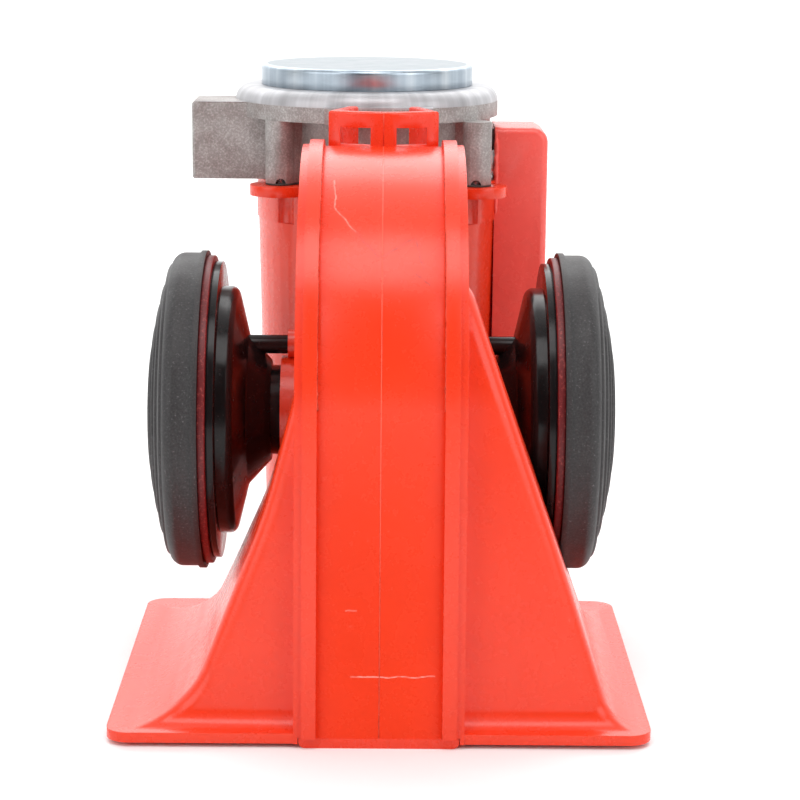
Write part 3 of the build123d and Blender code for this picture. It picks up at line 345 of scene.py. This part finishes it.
# Pressed steel, zinc plated and passivated: bluish white. Its drawn rim, outside
# flat_radius, has soft streaks; the flat top is only cloudy.
def passivated_zinc(name, centre, flat_radius):
    material = new_material(name)
    place = add_node(material, "ShaderNodeTexCoord").outputs["Object"]
    centred = add_node(material, "ShaderNodeVectorMath", {
        0: place, 1: centre,
    }, operation="SUBTRACT")
    parts = add_node(material, "ShaderNodeSeparateXYZ", {"Vector": centred.outputs[0]})
    turn = add_node(material, "ShaderNodeMath", {
        0: parts.outputs["Y"], 1: parts.outputs["X"],
    }, operation="ARCTAN2")
    round_rim = add_node(material, "ShaderNodeCombineXYZ", {"X": turn.outputs[0]})
    streak = add_node(material, "ShaderNodeTexNoise", {
        "Vector": round_rim.outputs[0], "Scale": 3.2, "Detail": 4.0, "Roughness": 0.6,
    })
    drawn = add_node(material, "ShaderNodeValToRGB", {"Fac": streak.outputs["Fac"]}, [
        (0.30, to_linear("#8793A0")), (0.50, to_linear("#AAB6C0")), (0.70, to_linear("#D3DADF")),
    ])
    cloud = add_node(material, "ShaderNodeTexNoise", {
        "Vector": place, "Scale": per_mm(4.0), "Detail": 5.0,
    })
    flat = add_node(material, "ShaderNodeValToRGB", {"Fac": cloud.outputs["Fac"]}, [
        (0.3, to_linear("#7E868C")), (0.7, to_linear("#8B9398")),
    ])
    level = add_node(material, "ShaderNodeCombineXYZ", {
        "X": parts.outputs["X"], "Y": parts.outputs["Y"],
    })
    radius = add_node(material, "ShaderNodeVectorMath", {
        0: level.outputs[0],
    }, operation="LENGTH")
    outside = add_node(material, "ShaderNodeMath", {
        0: radius.outputs["Value"], 1: flat_radius,
    }, operation="GREATER_THAN")
    colour = add_node(material, "ShaderNodeMix", {
        0: outside.outputs[0], 6: flat.outputs["Color"], 7: drawn.outputs["Color"],
    }, data_type="RGBA")
    shine = add_node(material, "ShaderNodeValToRGB", {"Fac": cloud.outputs["Fac"]}, [
        (0.3, grey(0.30)), (0.7, grey(0.42)),
    ])
    shader = add_node(material, "ShaderNodeBsdfPrincipled", {
        "Base Color": colour.outputs[2],
        "Metallic": 1.0,
        "Roughness": shine.outputs["Color"],
    })
    add_node(material, "ShaderNodeOutputMaterial", {"Surface": shader.outputs["BSDF"]})
    return material


# Plain turned or stamped stock with a fine grain in its colour and shine
def worked_stock(name, dark, pale, grain_size, low, high, metallic=1.0):
    material = new_material(name)
    place = add_node(material, "ShaderNodeTexCoord").outputs["Object"]
    speck = add_node(material, "ShaderNodeTexNoise", {
        "Vector": place, "Scale": per_mm(grain_size), "Detail": 3.0, "Roughness": 0.6,
    })
    colour = add_node(material, "ShaderNodeValToRGB", {"Fac": speck.outputs["Fac"]}, [
        (0.3, to_linear(dark)), (0.7, to_linear(pale)),
    ])
    shine = add_node(material, "ShaderNodeValToRGB", {"Fac": speck.outputs["Fac"]}, [
        (0.3, grey(low)), (0.7, grey(high)),
    ])
    shader = add_node(material, "ShaderNodeBsdfPrincipled", {
        "Base Color": colour.outputs["Color"],
        "Metallic": metallic,
        "Roughness": shine.outputs["Color"],
    })
    add_node(material, "ShaderNodeOutputMaterial", {"Surface": shader.outputs["BSDF"]})
    return material


# ---------------------------------------------------------------- ways of working

def activate(piece):
    bpy.ops.object.select_all(action="DESELECT")
    piece.select_set(True)
    bpy.context.view_layer.objects.active = piece


# A copy of a node as one closed skin, with its flat faces joined up again
def merged_copy(node, name):
    source = frame["nodes"][node]
    piece = bpy.data.objects.new(name, source.data.copy())
    bpy.context.scene.collection.objects.link(piece)
    piece.data.materials.clear()
    activate(piece)
    bpy.ops.object.mode_set(mode="EDIT")
    bpy.ops.mesh.select_all(action="SELECT")
    bpy.ops.mesh.remove_doubles(threshold=0.004 * millimetre)
    bpy.ops.mesh.dissolve_limited(angle_limit=radians(0.7))
    bpy.ops.object.mode_set(mode="OBJECT")
    return piece


# Rounds the edges that turn by more than 32 degrees, as a mould or a file does, then
# smooths what is left
def round_edges(piece, width, segments):
    activate(piece)
    bevel = piece.modifiers.new("rounding", "BEVEL")
    bevel.width = width * millimetre
    bevel.segments = segments
    bevel.limit_method = "ANGLE"
    bevel.angle_limit = radians(32)
    bevel.use_clamp_overlap = True
    bevel.harden_normals = False
    bpy.ops.object.modifier_apply(modifier=bevel.name)
    bpy.ops.object.shade_smooth_by_angle(angle=radians(40))


# A rounded copy that stands for a node, rides its body and has a finish
def dress(node, name, body, material, width, segments=2):
    piece = merged_copy(node, name)
    round_edges(piece, width, segments)
    piece.data.materials.append(material)
    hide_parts(node)
    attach(piece, body)
    return piece


# ---------------------------------------------------------------- the finishes

# Scratches on the front of the rim wall, each from one end to the other in X and Z,
# in millimetres. The width is in millimetres too; the strength is how well it shows.
dark_scratches = [
    ((-4.6, 87.2), (-0.6, 83.4)),
    ((-0.3, 83.6), (5.6, 86.4)),
    ((5.6, 86.4), (7.1, 81.6)),
    ((5.7, 80.9), (8.2, 79.2)),
]
pale_scratches = [
    ((-8.5, 94.9), (-8.3, 90.9)),
    ((-8.3, 90.9), (-4.6, 87.2)),
    ((-5.0, 12.6), (9.6, 12.7)),
    ((-5.9, 24.2), (-3.9, 24.2)),
]
dark_width, dark_strength, dark_tint = 0.32, 0.75, "#BC2018"
pale_width, pale_strength, pale_tint = 0.24, 0.6, "#FFB4AA"
body_marks = [
    (start, end, dark_width, dark_strength, dark_tint) for start, end in dark_scratches
] + [
    (start, end, pale_width, pale_strength, pale_tint) for start, end in pale_scratches
]

# The flash is paler than the rest: a painted highlight along its thin ridges, and along the
# parting line's, which catch the light.
# The duct is drawn pinker and paler than the other red parts.
red_body = moulded_red_abs("moulded_red_abs_body", "#E83716", "#ED3A18", "#FF6E5C", body_marks)
red_shell = moulded_red_abs("moulded_red_abs_shell", "#E83716", "#ED3A18", "#FF6E5C")
red_flash_painted_highlight = moulded_red_abs("moulded_red_abs_flash_painted_highlight", "#F05A45", "#F2664F", "#FF8F82")
red_duct = moulded_red_abs("moulded_red_abs_duct", "#F25A50", "#F66056", "#FF8A80")
black_gloss = moulded_black_abs("moulded_black_abs")
grey_cap = pebbled_grey_nylon("pebbled_grey_nylon")
ring_painted_shade = speckled_acetal_painted_shade("speckled_acetal_painted_shade")
plate_low, plate_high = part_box("end_plate")
plate_centre = (plate_low + plate_high) / 2
rolled_edge = 1.2 * millimetre
flat_radius = (plate_high.x - plate_low.x) / 2 - rolled_edge
zinc_plate = passivated_zinc("passivated_zinc", plate_centre, flat_radius)
turned_rim_height = 2.9 * millimetre
turned_z = plate_low.z - turned_rim_height
cast_metal = die_cast_aluminium("die_cast_aluminium", plate_centre, turned_z)
zinc_small = worked_stock("zinc_plated_steel", "#9AA0A5", "#D5D9DC", 0.8, 0.25, 0.4)
bare_steel = worked_stock("turned_steel", "#7C7B7A", "#B9B8B6", 0.6, 0.25, 0.42)
bronze = worked_stock("sintered_bronze", "#7A5A34", "#A9824F", 0.3, 0.4, 0.6)
copper = worked_stock("enamelled_copper_wire", "#8E4A24", "#C9713B", 0.5, 0.25, 0.4)
brass = worked_stock("tinned_brass", "#A08B4E", "#D0BC7A", 0.6, 0.25, 0.4)
carbon = worked_stock("pressed_carbon", "#191919", "#2C2C2C", 0.4, 0.5, 0.7, 0.0)
ferrite = worked_stock("sintered_ferrite", "#2B2929", "#403D3D", 0.5, 0.5, 0.7, 0.0)
board = worked_stock("phenolic_board", "#5A3A1E", "#7A5230", 1.0, 0.45, 0.6, 0.0)
fibre_gasket = worked_stock("fibre_gasket", "#33302E", "#4A4643", 0.5, 0.7, 0.85, 0.0)

finishes = {
    "right_diaphragm": bare_steel, "left_diaphragm": bare_steel,
    "pump_rotor": carbon, "vane_right": carbon, "vane_back": carbon,
    "vane_left": carbon, "vane_front": carbon,
    "lower_bearing": bronze, "upper_bearing": bronze,
    "right_magnet": ferrite, "left_magnet": ferrite,
    "motor_shaft": bare_steel, "armature_core": bare_steel,
    "armature_winding": copper, "commutator": copper,
    "brush_plate": board, "right_brush": carbon, "left_brush": carbon,
}
for node, material in finishes.items():
    mesh = frame["nodes"][node].data
    mesh.materials.clear()
    mesh.materials.append(material)

body = dress("centre_body", "dressed_centre_body", "horn", red_body, 0.35)
right_bell = dress("right_shell", "dressed_right_shell", "horn", red_shell, 0.4, 3)
left_bell = dress("left_shell", "dressed_left_shell", "horn", red_shell, 0.4, 3)
dress("duct_cover", "dressed_duct_cover", "horn", red_duct, 0.45)
for side in ("right", "left"):
    dress(f"{side}_housing", f"dressed_{side}_housing", "horn", black_gloss, 0.3)
    dress(f"{side}_clamp_ring", f"dressed_{side}_ring", "horn", ring_painted_shade, 0.25)
    dress(f"{side}_cap", f"dressed_{side}_cap", "horn", grey_cap, 0.3)
    dress(f"{side}_blade", f"dressed_{side}_blade", "horn", brass, 0.1)
dress("pump_casting", "dressed_pump_casting", "horn", cast_metal, 0.3)
dress("end_plate", "dressed_end_plate", "horn", zinc_plate, 0.15)
dress("pump_gasket", "dressed_gasket", "horn", fibre_gasket, 0.08)
dress("flange_screws", "dressed_screws", "horn", zinc_small, 0.15)
dress("inlet_filter", "dressed_filter", "horn", grey_cap, 0.2)
dress("motor_can", "dressed_motor_can", "horn", zinc_small, 0.3)
dress("motor_end_plate", "dressed_motor_end", "horn", zinc_small, 0.2)


# ---------------------------------------------------------------- seam and flash

# The crown is round about this line, and below it the front leans back a little
crown_y, crown_z = 6.5 * millimetre, 55.8 * millimetre
front_lean = radians(3.9)

# In millimetres: the side of a shell's strip, the cut just inside it that the flash is
# made from, and the flash's root, which is sunk in the strip
strip_side, flash_cut, flash_root = 10.9, 10.93, 11.1


# The way out of the snail's rim at a point on it, in Y and Z
def rim_outward(point):
    turn = max(front_lean, atan2(point.z - crown_z, crown_y - point.y))
    return Vector((0, -cos(turn), sin(turn)))


# The outer line of a piece where it is cut across at one X, up the front and over the
# crown as far as last_y. Edges that reach below lowest_z are left off. A flat face
# within a tenth of a millimetre of the cut comes with the line.
def rim_wire(piece, name, x, last_y, lowest_z):
    wire = bpy.data.objects.new(name, piece.data.copy())
    bpy.context.scene.collection.objects.link(wire)
    wire.data.materials.clear()
    activate(wire)
    bpy.ops.object.mode_set(mode="EDIT")
    bpy.ops.mesh.select_all(action="SELECT")
    bpy.ops.mesh.bisect(
        plane_co=(x, 0, 0), plane_no=(1, 0, 0), clear_inner=True, clear_outer=True
    )
    bpy.ops.mesh.select_all(action="DESELECT")
    bpy.ops.object.mode_set(mode="OBJECT")
    max(wire.data.vertices, key=lambda v: v.co.z).select = True
    bpy.ops.object.mode_set(mode="EDIT")
    bpy.ops.mesh.select_linked()
    bpy.ops.mesh.select_all(action="INVERT")
    bpy.ops.mesh.delete(type="VERT")
    bpy.ops.object.mode_set(mode="OBJECT")
    for v in wire.data.vertices:
        v.select = v.co.y > last_y or v.co.z < lowest_z
    bpy.ops.object.mode_set(mode="EDIT")
    bpy.ops.mesh.delete(type="VERT")
    bpy.ops.object.mode_set(mode="OBJECT")
    return wire


# Edges longer than one step are halved until none is, or three times at most
def divide_long_edges(wire, step):
    activate(wire)
    for halving in range(3):
        mesh = wire.data
        longest = 0
        for edge in mesh.edges:
            a, b = (mesh.vertices[i].co for i in edge.vertices)
            edge.select = (a - b).length > step
            longest = max(longest, (a - b).length)
        if longest <= step:
            return
        for v in mesh.vertices:
            v.select = False
        bpy.ops.object.mode_set(mode="EDIT")
        bpy.ops.mesh.select_mode(type="EDGE")
        bpy.ops.mesh.subdivide(number_cuts=1)
        bpy.ops.mesh.select_mode(type="VERT")
        bpy.ops.object.mode_set(mode="OBJECT")


# A wire made a round bead that stands half out of what it lies on
def bead(wire, radius):
    activate(wire)
    bpy.ops.object.convert(target="CURVE")
    wire.data.bevel_depth = radius
    wire.data.bevel_resolution = 2
    wire.data.use_fill_caps = True
    bpy.ops.object.convert(target="MESH")
    bpy.ops.object.shade_smooth()
    return wire


def finish_piece(piece, body, material):
    piece.data.materials.clear()
    piece.data.materials.append(material)
    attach(piece, body)
    return piece


# The mould's parting line, up the middle of the rim wall
parting = rim_wire(body, "parting_line", 0.0, 9.7 * millimetre, 0.4 * millimetre)
bead(parting, 0.09 * millimetre)
# The bead wears the paler flash finish: a painted highlight along the ridge
finish_piece(parting, "horn", red_flash_painted_highlight)


# Flash squeezed out of the welded joint between the rim wall and a side shell, round
# the crown. It is a skin on the side of the shell's strip, whose far edge is pressed on
# the wall and creeps over it: by a hair at the top of the crown, and by a ragged
# fraction of a millimetre more at the crown's foot.
def weld_flash(shell, name, side, seed):
    cut_x = side * flash_cut * millimetre
    wire = rim_wire(shell, name, cut_x, 11.2 * millimetre, 2.5 * millimetre)
    divide_long_edges(wire, 0.35 * millimetre)
    mesh = wire.data
    count = len(mesh.vertices)
    activate(wire)
    bpy.ops.object.mode_set(mode="EDIT")
    bpy.ops.mesh.select_all(action="SELECT")
    bpy.ops.mesh.extrude_region_move(TRANSFORM_OT_translate={"value": (0, 0, 0)})
    bpy.ops.object.mode_set(mode="OBJECT")
    for v in mesh.vertices[:count]:
        v.co.x = side * flash_root * millimetre
        v.co -= rim_outward(v.co) * 0.3 * millimetre
    for v in mesh.vertices[count:]:
        place = v.co / millimetre
        swell = noise.noise(Vector((seed, place.y * 0.16, place.z * 0.16)))
        ragged = noise.noise(Vector((seed + 9.0, place.y * 0.8, place.z * 0.8)))
        teeth = noise.noise(Vector((seed + 4.0, place.y * 1.7, place.z * 1.7)))
        lower = min(max((66 - place.z) / 22, 0.0), 1.0)
        low_reach = 0.22 + 0.6 * max(0.0, swell + 0.05) + 0.45 * ragged + 0.2 * teeth
        reach = 0.06 + 0.1 * max(0.0, teeth) + lower * max(0.0, low_reach)
        v.co.x = side * (strip_side - min(reach, 1.0)) * millimetre
    on_wall = wire.vertex_groups.new(name="on_the_wall")
    on_wall.add(list(range(count, 2 * count)), 1.0, "REPLACE")
    press = wire.modifiers.new("pressed_on_the_wall", "SHRINKWRAP")
    press.target = body
    press.vertex_group = on_wall.name
    press.wrap_mode = "ABOVE_SURFACE"
    press.offset = 0.05 * millimetre
    bpy.ops.object.modifier_apply(modifier=press.name)
    bpy.ops.object.mode_set(mode="EDIT")
    bpy.ops.mesh.select_all(action="SELECT")
    bpy.ops.mesh.normals_make_consistent(inside=False)
    bpy.ops.object.mode_set(mode="OBJECT")
    wall = wire.modifiers.new("flash_thickness", "SOLIDIFY")
    wall.thickness = 0.18 * millimetre
    wall.offset = 0.0
    bpy.ops.object.modifier_apply(modifier=wall.name)
    bpy.ops.object.shade_smooth()
    # The paler flash finish is a painted highlight along the flash's edge
    return finish_piece(wire, "horn", red_flash_painted_highlight)


weld_flash(right_bell, "right_weld_flash", 1, 3.1)
weld_flash(left_bell, "left_weld_flash", -1, 7.4)


# A lumpy round ridge along the straight line from start to end, tapered to a point
# at both ends: a grid is rolled up round the line and its seam closed
def lumpy_ridge(name, start, end, radius, lump, seed, material):
    rings = int((end - start).length / lump * 3)
    bpy.ops.mesh.primitive_grid_add(x_subdivisions=10, y_subdivisions=rings, size=1)
    ridge = bpy.context.object
    ridge.name = name
    line = (end - start).normalized()
    side = line.cross(Vector((0.3, 0.8, 0.5))).normalized()
    other = line.cross(side)
    for v in ridge.data.vertices:
        turn, along = (v.co.x + 0.5) * 2 * pi, v.co.y + 0.5
        middle = start.lerp(end, along)
        out = side * cos(turn) + other * sin(turn)
        swell = noise.noise((middle + out * radius) / lump + Vector((seed, 0, 0)))
        taper = min(1.0, 8 * along, 8 * (1 - along))
        v.co = middle + out * radius * taper * (1 + 0.7 * swell)
    activate(ridge)
    bpy.ops.object.mode_set(mode="EDIT")
    bpy.ops.mesh.select_all(action="SELECT")
    bpy.ops.mesh.remove_doubles(threshold=0.002 * millimetre)
    bpy.ops.mesh.normals_make_consistent(inside=False)
    bpy.ops.object.mode_set(mode="OBJECT")
    bpy.ops.object.shade_smooth()
    return finish_piece(ridge, "horn", material)


# The weld between the duct and the motor cup, and the burr on the lug's top edge
duct_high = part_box("duct_cover")[1]
weld_x = duct_high.x - 10.4 * millimetre
weld_y = duct_high.y - 16.0 * millimetre
lumpy_ridge(
    "duct_weld",
    Vector((weld_x, weld_y, duct_high.z - 18 * millimetre)),
    Vector((weld_x, weld_y, duct_high.z - 0.8 * millimetre)),
    0.45 * millimetre, 1.1 * millimetre, 2.0, red_duct,
)
lug_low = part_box("pump_casting")[0]
lug_front_y, lug_top_z = 45.55 * millimetre, 103.65 * millimetre
lug_root_x = -22 * millimetre
lumpy_ridge(
    "lug_burr",
    Vector((lug_low.x + 0.6 * millimetre, lug_front_y, lug_top_z)),
    Vector((lug_root_x, lug_front_y, lug_top_z)),
    0.16 * millimetre, 0.8 * millimetre, 5.0, cast_metal,
)


# ---------------------------------------------------------------- camera, light and floor

camera_place = Vector((0.00044, -0.4333, 0.14389))
heading, dip, tilt = radians(0.392), radians(11.849), radians(0.525)
aim = (
    Matrix.Rotation(-heading, 3, "Z")
    @ Matrix.Rotation(pi / 2 - dip, 3, "X")
    @ Matrix.Rotation(tilt, 3, "Z")
)
bpy.ops.object.camera_add(location=camera_place, rotation=aim.to_euler())
camera = bpy.context.object
camera.data.lens = 108
camera.data.sensor_width = 36
camera.data.clip_start = 0.01
bpy.context.scene.camera = camera


# A soft light of one radiance over its whole face, aimed at a point
def softbox(name, place, target, width, height, radiance):
    turn = (Vector(target) - Vector(place)).to_track_quat("-Z", "Y").to_euler()
    bpy.ops.object.light_add(type="AREA", location=place, rotation=turn)
    lamp = bpy.context.object
    lamp.name = name
    lamp.data.shape = "RECTANGLE"
    lamp.data.size = width
    lamp.data.size_y = height
    lamp.data.energy = radiance * pi * width * height
    return lamp


middle = (0, 0, 0.055)
softbox("overhead_softbox", (0.0, -0.32, 0.90), middle, 0.7, 0.42, 4.0)
softbox("left_softbox", (-0.72, -0.60, 0.50), middle, 0.8, 0.8, 2.25)
softbox("right_softbox", (0.72, -0.60, 0.50), middle, 0.8, 0.8, 2.25)
softbox("table_softbox", (0.0, 1.35, 1.0), (0.0, 1.35, 0.0), 2.6, 1.5, 1.8)

world = bpy.data.worlds.new("pale_studio")
bpy.context.scene.world = world
world.use_nodes = True
world.node_tree.nodes.clear()
direction = add_node(world, "ShaderNodeTexCoord").outputs["Generated"]
depth = add_node(world, "ShaderNodeSeparateXYZ", {"Vector": direction}).outputs["Y"]
front_to_back = add_node(world, "ShaderNodeMath", {
    0: depth, 1: 0.5, 2: 0.5,
}, operation="MULTIPLY_ADD")
surround = add_node(world, "ShaderNodeValToRGB", {"Fac": front_to_back.outputs[0]}, [
    (0.40, grey(0.06)), (0.65, grey(0.8)), (0.9, grey(1.0)),
])
backdrop = add_node(world, "ShaderNodeBackground", {
    "Color": surround.outputs["Color"], "Strength": 1.5,
})
add_node(world, "ShaderNodeOutputWorld", {"Surface": backdrop.outputs[0]})

bpy.ops.mesh.primitive_plane_add(size=4, location=(0, 0, 0))
floor = bpy.context.object
floor.name = "studio_floor"
floor.data.materials.append(
    worked_stock("matt_white_paper", "#F4F4F4", "#F8F8F8", 40.0, 0.88, 0.92, 0.0)
)

bpy.context.scene.view_settings.view_transform = "Standard"
